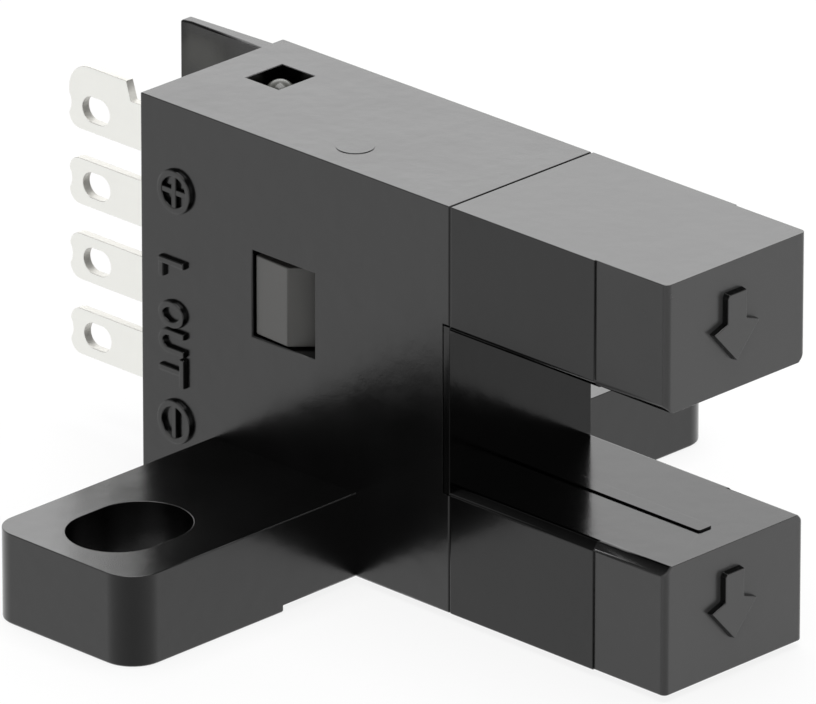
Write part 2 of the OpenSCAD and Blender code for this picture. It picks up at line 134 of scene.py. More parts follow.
# Sizes of the rings and letters, in millimetres, and the steps of their round lines
RING_R = 0.61
LETTER_H = 1.0
RUN_ON = 0.1
L_FOOT = 0.55
O_RADII = (0.335, 0.45)
U_RADII = (0.29, 0.29)
T_HALF_BAR = 0.48
T_BAR_H = 0.9
ROUND_STEPS = 31
ROUND_END = 360 * ROUND_STEPS / (ROUND_STEPS + 1)
HALF_ROUND_STEPS = 12

# Raised arrows on the prong tips, with their outline in millimetres
ARROW_RELIEF = 0.22 * MM
ARROW_SINK = 0.02 * MM
ARROW_FOOT_SPREAD = 1.04
ARROW_Y = -0.2 * MM
ARROW_HEIGHTS = (11.5 * MM, 2.4 * MM)
ARROW_OUTLINE = (
    (-0.33, 1.12), (-0.41, 1.02), (-0.41, 0.2), (-0.97, 0.0),
    (0.0, -1.07), (0.97, 0.0), (0.41, 0.2), (0.41, 1.12),
)

# Plated ends of the chips on the board
CAP_PROUD = 0.012 * MM
CAP_LENGTHS = {"chip_resistors": 0.22 * MM, "chip_capacitors": 0.34 * MM}

# Reflectance and refraction of the black plastics, with painted light and painted shade on faces of the
# head
CASE_LEVELS = (0.0002, 0.0016)
CASE_IOR = 1.6
HEAD_LEVELS = (0.0003, 0.0010)
HEAD_IOR = 1.58
SLOT_LEVEL = 0.0004
SLOT_IOR = 1.34
# Painted shade: how much of the darker slot finish the near side of the prong roots gets
ROOT_PAINTED_SHADE = 0.45
# Painted light: the tips and the step where they start get lighter base levels than the head, the lower
# tip most, for how light falls on them
UPPER_TIP_PAINTED_LEVEL = 0.004
LOWER_TIP_PAINTED_LEVEL = 0.013
TIP_START_PAINTED_LEVEL = 0.014
# Painted light: lighter base level of the tip fronts and the arrows, for how light falls on them
TIP_FRONT_PAINTED_LIGHT = 0.039
# Painted light: lighter colour of the hooks in the latch windows, for the light that falls on them
HOOK_PAINTED_LIGHT = (0.072, 0.071, 0.067, 1.0)

# The photograph's view
IMAGE_WIDTH = 816
FOCAL_PIXELS = 16000
SENSOR_WIDTH = 36
VIEW_AZIMUTH = math.radians(44.49)
VIEW_ELEVATION = math.radians(22.79)
VIEW_DISTANCE = 489.6 * MM
VIEW_AIM = Vector((2.671, -0.384, 6.737)) * MM
VIEW_RIGHT = Vector((math.cos(VIEW_AZIMUTH), math.sin(VIEW_AZIMUTH), 0.0))
VIEW_AWAY = Vector((-math.sin(VIEW_AZIMUTH), math.cos(VIEW_AZIMUTH), 0.0))

# White floor under the part
FLOOR_REACH = 1.5
FLOOR_Z = -0.01 * MM
FLOOR_LEVEL = 0.85
FLOOR_WHITENESS = 0.86


class Wire:
    """A node socket that takes part in Python sums; each operation adds a Math node."""

    def __init__(self, tree, socket=None):
        self.tree = tree
        self.socket = socket

    def node(self, kind, inputs=None, settings=None, out=0):
        """One output of a new node with these settings and with these values or links in its sockets."""
        made = self.tree.nodes.new(kind)
        for name, value in (settings or {}).items():
            if name == "stops":
                set_stops(made.color_ramp, value)
            else:
                setattr(made, name, value)
        for name, value in (inputs or {}).items():
            self.feed(made.inputs[name], value)
        return Wire(self.tree, made.outputs[out] if made.outputs else None)

    def feed(self, socket, value):
        """Links another wire to a socket, or sets the socket to a value."""
        if isinstance(value, Wire):
            self.tree.links.new(value.socket, socket)
        else:
            socket.default_value = value

    def math(self, operation, first, second=0.0, clamp=False):
        settings = {"operation": operation, "use_clamp": clamp}
        return self.node("ShaderNodeMath", {0: first, 1: second}, settings)

    def mix(self, factor, first, second):
        """A colour between two colours."""
        sockets = {"Factor": factor, 6: first, 7: second}
        return self.node("ShaderNodeMix", sockets, {"data_type": "RGBA"}, out=2)

    def ramp(self, *stops):
        """The grey that these pairs of place and level give for this value."""
        greys = [(place, grey(level)) for place, level in stops]
        return self.node("ShaderNodeValToRGB", {"Fac": self}, {"stops": greys}, out="Color")

    def axis(self, name):
        """One component of this vector."""
        return self.node("ShaderNodeSeparateXYZ", {"Vector": self}, out=name)

    def towards(self, direction):
        """How far this vector goes in a direction."""
        settings = {"operation": "DOT_PRODUCT"}
        return self.node("ShaderNodeVectorMath", {0: self, 1: direction}, settings, out="Value")

    def above(self, level, soft):
        """A mask that rises from 0 to 1 over a soft width around a level."""
        return self.math("ADD", (self - level) * (1 / soft), 0.5, clamp=True)

    def __add__(self, other):
        return self.math("ADD", self, other)

    def __radd__(self, other):
        return self.math("ADD", other, self)

    def __sub__(self, other):
        return self.math("SUBTRACT", self, other)

    def __rsub__(self, other):
        return self.math("SUBTRACT", other, self)

    def __mul__(self, other):
        return self.math("MULTIPLY", self, other)

    def __rmul__(self, other):
        return self.math("MULTIPLY", other, self)


def set_stops(ramp, stops):
    """Gives a colour ramp its stops, as pairs of place and colour."""
    while len(ramp.elements) < len(stops):
        ramp.elements.new(1.0)
    for element, (place, colour) in zip(ramp.elements, stops):
        element.position = place
        element.color = colour


def grey(level):
    return (level, level, level, 1.0)


def shade(colour, factor):
    """A colour made darker or lighter."""
    return tuple(factor * c for c in colour[:3]) + (1.0,)


def new_material(name):
    """An empty material and the wire that starts its tree."""
    material = bpy.data.materials.new(name)
    material.use_nodes = True
    material.node_tree.nodes.clear()
    return material, Wire(material.node_tree)


def principled(wire, sockets):
    return wire.node("ShaderNodeBsdfPrincipled", sockets)


def finish_surface(wire, sockets):
    """Ends a material in one Principled shader with these sockets."""
    wire.node("ShaderNodeOutputMaterial", {"Surface": principled(wire, sockets)})


def noise(wire, place, size, detail=2.0, stretch=None):
    """Noise whose features measure about size, in metres; stretch scales its axes."""
    if stretch:
        place = wire.node("ShaderNodeMapping", {"Vector": place, "Scale": stretch})
    sockets = {"Vector": place, "Scale": 1 / size, "Detail": detail}
    return wire.node("ShaderNodeTexNoise", sockets, out="Fac")


def bump(wire, height, strength, depth=0.01 * MM):
    """The normal that a height gives."""
    return wire.node("ShaderNodeBump", {"Height": height, "Strength": strength, "Distance": depth})


def grained(wire, place, strength):
    """Spark-eroded grain of a mould on slightly wavy walls, as a normal, and the grain's fleck."""
    fleck = noise(wire, place, 0.16 * MM)
    pits = noise(wire, place, 0.07 * MM)
    wave = noise(wire, place, 0.7 * MM, 1.0)
    return bump(wire, pits * 0.7 + fleck * 0.3 + wave * 3.0, strength), fleck


def case_plastic():
    """Satin black case, slightly clouded."""
    material, wire = new_material("case_plastic")
    place = wire.node("ShaderNodeTexCoord", out="Object")
    normal, fleck = grained(wire, place, 0.22)
    cloud = noise(wire, place, 2.4 * MM, 3.0)
    darkest, lightest = CASE_LEVELS
    tone = wire.mix(cloud * 0.7 + fleck * 0.3, grey(darkest), grey(lightest))
    gloss = 0.145 + cloud * 0.12 + fleck * 0.03
    finish_surface(wire, {"Base Color": tone, "Roughness": gloss, "Normal": normal, "IOR": CASE_IOR})
    return material


def head_plastic():
    """Black infrared-clear head, polished around the slot, with painted light on the tips, their fronts
    and the hooks and painted shade on the near side of the roots.
    """
    material, wire = new_material("head_plastic")
    place = wire.node("ShaderNodeTexCoord", out="Object")
    normal, fleck = grained(wire, place, 0.12)
    cloud = noise(wire, place, 2.0 * MM, 3.0)
    along = place.axis("X")
    height = place.axis("Z")
    facing = wire.node("ShaderNodeNewGeometry", out="True Normal")
    forward = facing.axis("X")
    faces_front = forward.above(0.85, 0.1)
    faces_near = (facing.axis("Y") * -1.0).above(0.85, 0.1)
    soft = 0.02 * MM

    # Fronts of the tips and the arrows, with the round upright edges of the tips, which take a painted
    # lighter tone
    flat_front = along.above(TIP_X - 2 * soft, soft) * faces_front
    behind_arrows = 1 - along.above(TIP_X + soft, soft)
    upright = along.above(TIP_X - TIP_EDGE_R + soft, 2 * soft) * behind_arrows
    front = wire.math("MAXIMUM", flat_front, upright * forward.above(0.2, 0.4))

    # Sides of the tips, the small step where they start, and the near side of the roots behind it: the
    # tips and the step take painted light, the near side of the roots painted shade
    beyond = along.above(TIP_START_X, soft)
    tip = beyond * (1 - height.above(TOP_Z - 2 * soft, soft)) * behind_arrows
    step_room = 0.05 * MM
    around_step = along.above(TIP_START_X - step_room, soft) - along.above(TIP_START_X + step_room, soft)
    step = around_step * faces_front
    painted_root_shade = (1 - beyond) * faces_near

    # Walls of the slot with their chamfers, and the hooks in the latch windows, which take a painted
    # lighter colour
    low_edge = height.above(SLOT_LOW_Z - SLOT_CHAMFER / 2, SLOT_CHAMFER)
    high_edge = height.above(SLOT_HIGH_Z + SLOT_CHAMFER / 2, SLOT_CHAMFER)
    past_seam = along.above(SEAM_X - SLACK, SLACK / 2)
    slot = past_seam * low_edge * (1 - high_edge) * (1 - front)
    hook = 1 - along.above(HOOK_END_X, 0.1 * MM)

    darkest, lightest = HEAD_LEVELS
    tone = wire.mix(cloud * 0.7 + fleck * 0.3, grey(darkest), grey(lightest))
    # Painted light: the tips and their step are lighter than the rest of the head
    painted_tip_tone = wire.mix(height.above(MID_Z, 1.0 * MM), grey(LOWER_TIP_PAINTED_LEVEL), grey(UPPER_TIP_PAINTED_LEVEL))
    tone = wire.mix(tip, tone, painted_tip_tone)
    tone = wire.mix(step, tone, grey(TIP_START_PAINTED_LEVEL))
    # Painted light: the fronts of the tips and the arrows are lighter
    tone = wire.mix(front, tone, grey(TIP_FRONT_PAINTED_LIGHT))
    # Painted light: the hooks are lighter
    tone = wire.mix(hook, tone, HOOK_PAINTED_LIGHT)
    gloss = 0.125 + cloud * 0.09 + fleck * 0.02 + tip * 0.07 + hook * 0.16
    polish = 0.09 + cloud * 0.10
    outside = {"Base Color": tone, "Roughness": gloss, "Normal": normal, "IOR": HEAD_IOR}
    inside = {"Base Color": grey(SLOT_LEVEL), "Roughness": polish, "Normal": normal, "IOR": SLOT_IOR}
    # The polished slot, and painted shade on the near side of the roots, which takes the darker slot
    # finish too
    slot_and_painted_shade = wire.math("MAXIMUM", slot, painted_root_shade * (1 - hook) * ROOT_PAINTED_SHADE)
    shaders = {0: slot_and_painted_shade, 1: principled(wire, outside), 2: principled(wire, inside)}
    surface = wire.node("ShaderNodeMixShader", shaders)
    wire.node("ShaderNodeOutputMaterial", {"Surface": surface})
    return material


def plated_metal(name, colour, roughness, metallic=1.0):
    """Tin plate over rolled strip, with faint rolling lines along its length."""
    material, wire = new_material(name)
    place = wire.node("ShaderNodeTexCoord", out="Object")
    lines = noise(wire, place, 0.3 * MM, 2.0, (0.06, 1.0, 4.0))
    stain = noise(wire, place, 1.1 * MM, 3.0)
    tone = wire.mix(stain, shade(colour, 0.93), colour)
    gloss = (roughness - 0.06) + lines * 0.08 + stain * 0.06
    normal = bump(wire, lines, 0.08)
    finish_surface(wire, {"Base Color": tone, "Metallic": metallic, "Roughness": gloss, "Normal": normal})
    return material


def solder_metal():
    """Bright solder with the soft wrinkles that it sets in."""
    material, wire = new_material("solder")
    place = wire.node("ShaderNodeTexCoord", out="Object")
    wrinkle = noise(wire, place, 0.35 * MM, 3.0)
    tone = wire.mix(wrinkle, (0.62, 0.63, 0.65, 1.0), (0.80, 0.80, 0.81, 1.0))
    gloss = 0.18 + wrinkle * 0.2
    normal = bump(wire, wrinkle, 0.4, 0.02 * MM)
    finish_surface(wire, {"Base Color": tone, "Metallic": 1.0, "Roughness": gloss, "Normal": normal})
    return material


def board_laminate():
    """Green solder mask over woven glass."""
    material, wire = new_material("board_laminate")
    place = wire.node("ShaderNodeTexCoord", out="Object")
    warp = noise(wire, place, 0.25 * MM, 1.0, (0.15, 1.0, 1.0))
    weft = noise(wire, place, 0.25 * MM, 1.0, (1.0, 1.0, 0.15))
    cloud = noise(wire, place, 3.0 * MM)
    weave = warp * 0.4 + weft * 0.4 + cloud * 0.2
    tone = wire.mix(weave, (0.012, 0.085, 0.035, 1.0), (0.035, 0.170, 0.075, 1.0))
    normal = bump(wire, warp + weft, 0.15)
    finish_surface(wire, {"Base Color": tone, "Roughness": 0.3 + cloud * 0.1, "Normal": normal})
    return material


def moulded_resin(name, dark, light, roughness):
    """Opaque moulding resin or fired ceramic with a fine speckle."""
    material, wire = new_material(name)
    place = wire.node("ShaderNodeTexCoord", out="Object")
    speckle = noise(wire, place, 0.09 * MM)
    cloud = noise(wire, place, 0.8 * MM)
    tone = wire.mix(speckle * 0.6 + cloud * 0.4, dark, light)
    gloss = roughness + speckle * 0.15
    finish_surface(wire, {"Base Color": tone, "Roughness": gloss, "Normal": bump(wire, speckle, 0.2)})
    return material


def clear_resin(name, dark, light, coat):
    """Cast lens resin, cloudy inside with a glossy skin."""
    material, wire = new_material(name)
    place = wire.node("ShaderNodeTexCoord", out="Object")
    cloud = noise(wire, place, 0.6 * MM, 3.0)
    sockets = {
        "Base Color": wire.mix(cloud, dark, light),
        "Roughness": 0.2 + cloud * 0.1,
        "Coat Weight": coat + cloud * 0.1,
        "Coat Roughness": 0.08,
    }
    finish_surface(wire, sockets)
    return material


CASE_PLASTIC = case_plastic()
HEAD_PLASTIC = head_plastic()
TERMINAL_PLATE = plated_metal("terminal_plate", (0.94, 0.94, 0.90, 1.0), 0.36)
SHEARED_EDGE = plated_metal("sheared_edge", (0.66, 0.65, 0.61, 1.0), 0.42, 0.4)
LEAD_METAL = plated_metal("lead_metal", (0.72, 0.72, 0.73, 1.0), 0.28)
CHIP_END_METAL = plated_metal("chip_end_metal", (0.78, 0.78, 0.78, 1.0), 0.32)
SOLDER = solder_metal()
BOARD_LAMINATE = board_laminate()
LAMP_RESIN = clear_resin(
    "lamp_resin", (0.05, 0.05, 0.045, 1.0), (0.10, 0.10, 0.09, 1.0), 0.0)
EMITTER_RESIN = clear_resin(
    "emitter_resin", (0.10, 0.12, 0.22, 1.0), (0.16, 0.19, 0.32, 1.0), 0.7)
RECEIVER_RESIN = clear_resin(
    "receiver_resin", (0.010, 0.008, 0.012, 1.0), (0.024, 0.018, 0.026, 1.0), 0.7)
CHIP_RESIN = moulded_resin(
    "chip_resin", (0.012, 0.012, 0.013, 1.0), (0.026, 0.026, 0.027, 1.0), 0.5)
RESISTOR_CERAMIC = moulded_resin(
    "resistor_ceramic", (0.020, 0.024, 0.034, 1.0), (0.036, 0.042, 0.056, 1.0), 0.35)
CAPACITOR_CERAMIC = moulded_resin(
    "capacitor_ceramic", (0.34, 0.22, 0.12, 1.0), (0.46, 0.32, 0.19, 1.0), 0.4)

INNER_FINISHES = {
    "circuit_board": BOARD_LAMINATE,
    "terminal_solder": SOLDER,
    "lead_solder": SOLDER,
    "infrared_emitter": EMITTER_RESIN,
    "infrared_receiver": RECEIVER_RESIN,
    "emitter_leads": LEAD_METAL,
    "receiver_leads": LEAD_METAL,
    "amplifier_chip": CHIP_RESIN,
    "amplifier_legs": LEAD_METAL,
    "output_transistor": CHIP_RESIN,
    "transistor_legs": LEAD_METAL,
    "protection_diode": CHIP_RESIN,
    "diode_legs": LEAD_METAL,
    "chip_resistors": RESISTOR_CERAMIC,
    "chip_capacitors": CAPACITOR_CERAMIC,
}


def dress_inner_nodes():
    """Gives each piece inside the case its own finish."""
    for node, material in INNER_FINISHES.items():
        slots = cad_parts[node].data.materials
        for index in range(len(slots)):
            slots[index] = material


def joined_form(node):
    """The form of a CAD node with its loose triangles joined."""
    form = bmesh.new()
    form.from_mesh(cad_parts[node].data)
    bmesh.ops.remove_doubles(form, verts=form.verts, dist=WELD_GAP)
    return form


def welded(node):
    """The joined form of a CAD node with its flat faces made whole."""
    form = joined_form(node)
    bmesh.ops.dissolve_limit(form, angle_limit=FLAT_ANGLE, verts=form.verts, edges=form.edges)
    return form


def weigh_edges(form, widest, width_of):
    """Stores for each sharp edge the share of the widest rounding that its middle gets."""
    weight = form.edges.layers.float.new("bevel_weight_edge")
    for edge in form.edges:
        if edge.is_manifold and edge.calc_face_angle() > SHARP_ANGLE:
            middle = (edge.verts[0].co + edge.verts[1].co) / 2
            edge[weight] = width_of(middle, edge.is_convex) / widest


def new_piece(name, mesh, materials):
    """An object for a finished mesh, riding on the part."""
    mesh.shade_smooth()
    mesh.set_sharp_from_angle(angle=SHARP_ANGLE)
    for material in materials:
        mesh.materials.append(material)
    piece = bpy.data.objects.new(name, mesh)
    bpy.context.scene.collection.objects.link(piece)
    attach(piece, "root")
    return piece


def round_edges(piece, width, limit, segments=3):
    """Rounds a piece's edges and keeps its flat faces flat in shading."""
    rounding = piece.modifiers.new("rounding", "BEVEL")
    rounding.width = width
    rounding.segments = segments
    rounding.limit_method = limit
    rounding.use_clamp_overlap = limit == "ANGLE"
    rounding.harden_normals = True
    flatten = piece.modifiers.new("flat_faces", "WEIGHTED_NORMAL")
    flatten.weight = 100
    flatten.keep_sharp = True


def rounded_piece(name, form, widest, width_of, materials):
    """A piece of a form whose sharp edges are rounded by the width that each one's middle gets."""
    weigh_edges(form, widest, width_of)
    mesh = bpy.data.meshes.new(name)
    form.to_mesh(mesh)
    form.free()
    piece = new_piece(name, mesh, materials)
    round_edges(piece, widest, "WEIGHT")
    return piece


def same_width(width):
    """The rule that rounds every outer edge by one width."""
    return lambda middle, convex: width if convex else 0.0


def on_top(place):
    """Whether a place is on the flat top or above it."""
    return place.z > TOP_Z - SLACK


def on_ejector(place):
    """Whether a place belongs to the ejector mark on the top."""
    return on_top(place) and (place.xy - EJECTOR).length < EJECTOR_REACH


def on_lamp_opening(place):
    """Whether a place is on the rim of the opening over the lamp."""
    within_x = LAMP_OPENING_LOW.x < place.x < LAMP_OPENING_HIGH.x
    within_y = LAMP_OPENING_LOW.y < place.y < LAMP_OPENING_HIGH.y
    return on_top(place) and within_x and within_y


def beside_slot(place):
    """Whether a place is as high as the sensing slot with its chamfers."""
    return SLOT_LOW_Z - 2 * SLOT_CHAMFER < place.z < SLOT_HIGH_Z + 2 * SLOT_CHAMFER


def inside_case(place):
    """Whether a place is within the walls of the case."""
    within_walls = abs(place.y) < INSIDE_Y and INSIDE_LOW_Z < place.z < INSIDE_HIGH_Z
    return within_walls and place.x > INSIDE_BACK_X


def on_rib(place):
    """Whether a place is on a rib in the sensing slot."""
    return abs(place.y) < RIB_HALF_W and SLOT_LOW_Z - RIB_ROOM < place.z < SLOT_HIGH_Z + RIB_ROOM


def case_width(middle, convex):
    """Rounding of a case edge: none inside, less on rims, long top edges and around the ejector mark."""
    if on_ejector(middle):
        return EJECTOR_ROUND
    if not convex or inside_case(middle):
        return 0.0
    if middle.x > RIM_X:
        return LIP_ROUND if beside_slot(middle) else SEAM_ROUND
    if on_lamp_opening(middle):
        return LAMP_OPENING_ROUND
    if abs(middle.x) < WINDOW_HALF_L and middle.z > WINDOW_LOW_Z:
        return WINDOW_ROUND
    if abs(middle.z - FLANGE_TOP_Z) < SLACK:
        return FLANGE_TOP_ROUND
    return CASE_ROUND


def head_width(middle, convex):
    """Rounding of a head edge: none inside the case but on the hooks, less on the lip, ribs and top."""
    if not convex:
        return 0.0
    if middle.x < SKIRT_X:
        return HOOK_ROUND if abs(middle.y) > HOOK_Y else 0.0
    if middle.x < SEAM_X + SLACK:
        return LIP_ROUND if beside_slot(middle) else SEAM_ROUND
    if on_rib(middle):
        return RIB_ROUND
    if abs(middle.x - TIP_START_X) < SLACK:
        return TIP_START_ROUND
    if middle.z > TOP_Z - TOP_EDGE_ROOM:
        return HEAD_TOP_ROUND
    return HEAD_ROUND


def round_flange_corners(form):
    """Widens the round of the near back and far front flange corners."""
    for side in (-1, 1):
        middle = side * Vector((FLANGE_HALF_W - CORNER_R, case_high.y - CORNER_R))
        wider = side * Vector((FLANGE_HALF_W - ROUNDER_CORNER_R, case_high.y - ROUNDER_CORNER_R))
        for vertex in form.verts:
            spread = vertex.co.xy - middle
            if min(side * spread) > -WELD_GAP:
                vertex.co.xy = wider + spread * (ROUNDER_CORNER_R / CORNER_R)


def lower_ejector_mark(form):
    """Lowers the top of the ejector mark to its faint relief."""
    for vertex in form.verts:
        if vertex.co.z > TOP_Z + EJECTOR_RELIEF and on_ejector(vertex.co):
            vertex.co.z = TOP_Z + EJECTOR_RELIEF


def build_mouldings():
    """The case and the forked head."""
    case_form = welded("case")
    round_flange_corners(case_form)
    lower_ejector_mark(case_form)
    case_piece = rounded_piece("case_shell", case_form, CASE_ROUND, case_width, [CASE_PLASTIC])
    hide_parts("case")
    head_form = welded("optical_head")
    head_piece = rounded_piece("forked_head", head_form, SEAM_ROUND, head_width, [HEAD_PLASTIC])
    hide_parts("optical_head")


def build_terminals():
    """The four blades, plated on their faces and bare where they were sheared."""
    finishes = [TERMINAL_PLATE, SHEARED_EDGE]
    for node in ("supply_terminal", "mode_terminal", "output_terminal", "common_terminal"):
        form = welded(node)
        for face in form.faces:
            face.material_index = 0 if abs(face.normal.y) > 0.5 else 1
        piece = rounded_piece(node + "_blade", form, BLADE_ROUND, same_width(BLADE_ROUND), finishes)
        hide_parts(node)


def build_indicator():
    """The lamp with its round dome in the opening on the top."""
    form = welded("indicator_lamp")
    piece = rounded_piece("indicator_dome", form, LAMP_ROUND, same_width(LAMP_ROUND), [LAMP_RESIN])
    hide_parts("indicator_lamp")


def curved_path(centre, radii, start, end, steps):
    """Points on an arc between two angles in degrees."""
    turn = [math.radians(start + (end - start) * i / steps) for i in range(steps + 1)]
    return [(centre[0] + radii[0] * math.cos(a), centre[1] + radii[1] * math.sin(a)) for a in turn]


def mark_paths():
    """The strokes of the marks: place of the mark, drop below the relief, points to its right and up."""
    top, lower, lowest = MARK_DROPS
    ring = curved_path((0, 0), (RING_R, RING_R), 0, ROUND_END, ROUND_STEPS)
    across = [(-RING_R, 0), (RING_R, 0)]
    upright = [(0, -RING_R), (0, RING_R)]
    bowl = curved_path(U_RADII, U_RADII, 180, 360, HALF_ROUND_STEPS)
    return [
        (PLUS_AT, top, ring),
        (PLUS_AT, lower, across),
        (PLUS_AT, lowest, upright),
        (MINUS_AT, top, ring),
        (MINUS_AT, lower, across),
        (L_AT, top, [(0, -RUN_ON), (0, LETTER_H)]),
        (L_AT, lower, [(0, 0), (L_FOOT, 0)]),
        (O_AT, top, curved_path(O_RADII, O_RADII, 0, ROUND_END, ROUND_STEPS)),
        (U_AT, top, [(0, LETTER_H)] + bowl + [(2 * U_RADII[0], LETTER_H)]),
        (T_AT, top, [(-T_HALF_BAR, T_BAR_H), (T_HALF_BAR, T_BAR_H)]),
        (T_AT, lower, [(0, T_BAR_H), (0, -RUN_ON)]),
    ]


def stroke_tree():
    """Node tree that runs a tapered raised stroke along each path."""
    tree = bpy.data.node_groups.new("raised_strokes", "GeometryNodeTree")
    tree.interface.new_socket("Paths", in_out="INPUT", socket_type="NodeSocketGeometry")
    for name in ("Stroke Width", "Relief", "Wall Lean", "Sink"):
        tree.interface.new_socket(name, in_out="INPUT", socket_type="NodeSocketFloat")
    tree.interface.new_socket("Material", in_out="INPUT", socket_type="NodeSocketMaterial")
    tree.interface.new_socket("Strokes", in_out="OUTPUT", socket_type="NodeSocketGeometry")
    wire = Wire(tree)
    names = [item.name for item in tree.interface.items_tree if item.in_out == "INPUT"]
    given = {name: wire.node("NodeGroupInput", out=name) for name in names}
    half = given["Stroke Width"] * 0.5
    foot = half + given["Wall Lean"]
    low = given["Sink"] * -1.0
    high = given["Relief"]
    corners = [(low, foot * -1.0), (high, half * -1.0), (high, half), (low, foot)]
    points = {}
    for number, (rise, side) in enumerate(corners, 1):
        points["Point %d" % number] = wire.node("ShaderNodeCombineXYZ", {"X": rise, "Y": side})
    section = wire.node("GeometryNodeCurvePrimitiveQuadrilateral", points, {"mode": "POINTS"})
    path = wire.node("GeometryNodeMeshToCurve", {"Mesh": given["Paths"]})
    path = wire.node("GeometryNodeSetCurveNormal", {"Curve": path, "Normal": (0, 0, 1)}, {"mode": "FREE"})
    sweep = {"Curve": path, "Profile Curve": section, "Fill Caps": True}
    swept = wire.node("GeometryNodeCurveToMesh", sweep)
    whole = wire.node("GeometryNodeRealizeInstances", {"Geometry": swept})
    coloured = wire.node("GeometryNodeSetMaterial", {"Geometry": whole, "Material": given["Material"]})
    wire.node("NodeGroupOutput", {"Strokes": coloured})
    return tree


def grown_mesh(name, start, tree, values):
    """The mesh that a node tree makes of a starting mesh, with its named inputs set."""
    holder = bpy.data.objects.new(name, start)
    bpy.context.scene.collection.objects.link(holder)
    growth = holder.modifiers.new("growth", "NODES")
    growth.node_group = tree
    for item in tree.interface.items_tree:
        if item.in_out == "INPUT" and item.name in values:
            growth[item.identifier] = values[item.name]
    evaluated = holder.evaluated_get(bpy.context.evaluated_depsgraph_get())
    grown = bpy.data.meshes.new_from_object(evaluated)
    grown.name = name
    bpy.data.objects.remove(holder)
    bpy.data.meshes.remove(start)
    return grown


def turn_outward(mesh):
    """Makes the normals of an own mesh point outward."""
    form = bmesh.new()
    form.from_mesh(mesh)
    bmesh.ops.remove_doubles(form, verts=form.verts, dist=WELD_GAP / 2)
    bmesh.ops.recalc_face_normals(form, faces=form.faces)
    form.to_mesh(mesh)
    form.free()


def build_terminal_marks():
    """Raised marks that name the terminals, read from above with their feet towards the blades."""
    points, lines = [], []
    for (foot_x, left_z), drop, path in mark_paths():
        first = len(points)
        points += [(-left_z + right * MM, foot_x + up * MM, -drop) for right, up in path]
        lines += [(i, i + 1) for i in range(first, len(points) - 1)]
        if len(path) > ROUND_STEPS:
            lines.append((len(points) - 1, first))
    paths = bpy.data.meshes.new("mark_paths")
    paths.from_pydata(points, lines, [])
    values = {
        "Stroke Width": MARK_STROKE,
        "Relief": MARK_RELIEF,
        "Wall Lean": MARK_LEAN,
        "Sink": MARK_SINK,
        "Material": CASE_PLASTIC,
    }
    mesh = grown_mesh("terminal_marks", paths, stroke_tree(), values)
    on_side = Matrix(((0, 1, 0, 0), (0, 0, -1, -SIDE_Y), (-1, 0, 0, 0), (0, 0, 0, 1)))
    mesh.transform(on_side)
    turn_outward(mesh)
    piece = new_piece("terminal_marks", mesh, [])
    round_edges(piece, MARK_ROUND, "ANGLE", 2)


def build_arrows():
    """Raised arrows on the prong tips that point down to the mounting face."""
    form = bmesh.new()
    levels = ((TIP_X - ARROW_SINK, ARROW_FOOT_SPREAD), (TIP_X + ARROW_RELIEF, 1.0))
    count = len(ARROW_OUTLINE)
    for middle_z in ARROW_HEIGHTS:
        rings = []
        for x, spread in levels:
            outline = [(ARROW_Y + spread * y * MM, middle_z + spread * z * MM) for y, z in ARROW_OUTLINE]
            rings.append([form.verts.new((x, y, z)) for y, z in outline])
        base, crown = rings
        for i in range(count):
            j = (i + 1) % count
            form.faces.new((base[i], base[j], crown[j], crown[i]))
        form.faces.new(base)
        form.faces.new(crown)
    mesh = bpy.data.meshes.new("beam_arrows")
    form.to_mesh(mesh)
    form.free()
    turn_outward(mesh)
    piece = new_piece("beam_arrows", mesh, [HEAD_PLASTIC])
    round_edges(piece, ARROW_ROUND, "ANGLE", 2)


def solid_boxes(node):
    """The low and high corners of each separate solid of a CAD node."""
    form = joined_form(node)
    left = set(form.verts)
    boxes = []
    while left:
        reached = [left.pop()]
        for vertex in reached:
            for edge in vertex.link_edges:
                other = edge.other_vert(vertex)
                if other in left:
                    left.remove(other)
                    reached.append(other)
        places = [vertex.co.copy() for vertex in reached]
        low = Vector([min(p[k] for p in places) for k in range(3)])
        high = Vector([max(p[k] for p in places) for k in range(3)])
        boxes.append((low, high))
    form.free()
    return boxes


def cap_tree():
    """Node tree that sets a block of one size on each point."""
    tree = bpy.data.node_groups.new("end_caps", "GeometryNodeTree")
    tree.interface.new_socket("Places", in_out="INPUT", socket_type="NodeSocketGeometry")
    tree.interface.new_socket("Size", in_out="INPUT", socket_type="NodeSocketVector")
    tree.interface.new_socket("Material", in_out="INPUT", socket_type="NodeSocketMaterial")
    tree.interface.new_socket("Caps", in_out="OUTPUT", socket_type="NodeSocketGeometry")
    wire = Wire(tree)
    block = wire.node("GeometryNodeMeshCube", {"Size": wire.node("NodeGroupInput", out="Size")})
    spots = wire.node("GeometryNodeMeshToPoints", {"Mesh": wire.node("NodeGroupInput", out="Places")})
    copies = wire.node("GeometryNodeInstanceOnPoints", {"Points": spots, "Instance": block})
    whole = wire.node("GeometryNodeRealizeInstances", {"Geometry": copies})
    material = wire.node("NodeGroupInput", out="Material")
    coloured = wire.node("GeometryNodeSetMaterial", {"Geometry": whole, "Material": material})
    wire.node("NodeGroupOutput", {"Caps": coloured})
    return tree


def build_chip_caps():
    """Plated ends of the chip resistors and capacitors on the board."""
    tree = cap_tree()
    for node, length in CAP_LENGTHS.items():
        boxes = solid_boxes(node)
        places = []
        for low, high in boxes:
            middle = (low + high) / 2
            for end in (low.x + length / 2 - CAP_PROUD, high.x - length / 2 + CAP_PROUD):
                places.append((end, middle.y + CAP_PROUD / 2, middle.z))
        low, high = boxes[0]
        size = (length, high.y - low.y + CAP_PROUD, high.z - low.z + 2 * CAP_PROUD)
        spots = bpy.data.meshes.new("cap_places")
        spots.from_pydata(places, [], [])
        mesh = grown_mesh(node + "_ends", spots, tree, {"Size": size, "Material": CHIP_END_METAL})
        piece = new_piece(node + "_ends", mesh, [])
        round_edges(piece, CAP_ROUND, "ANGLE", 2)


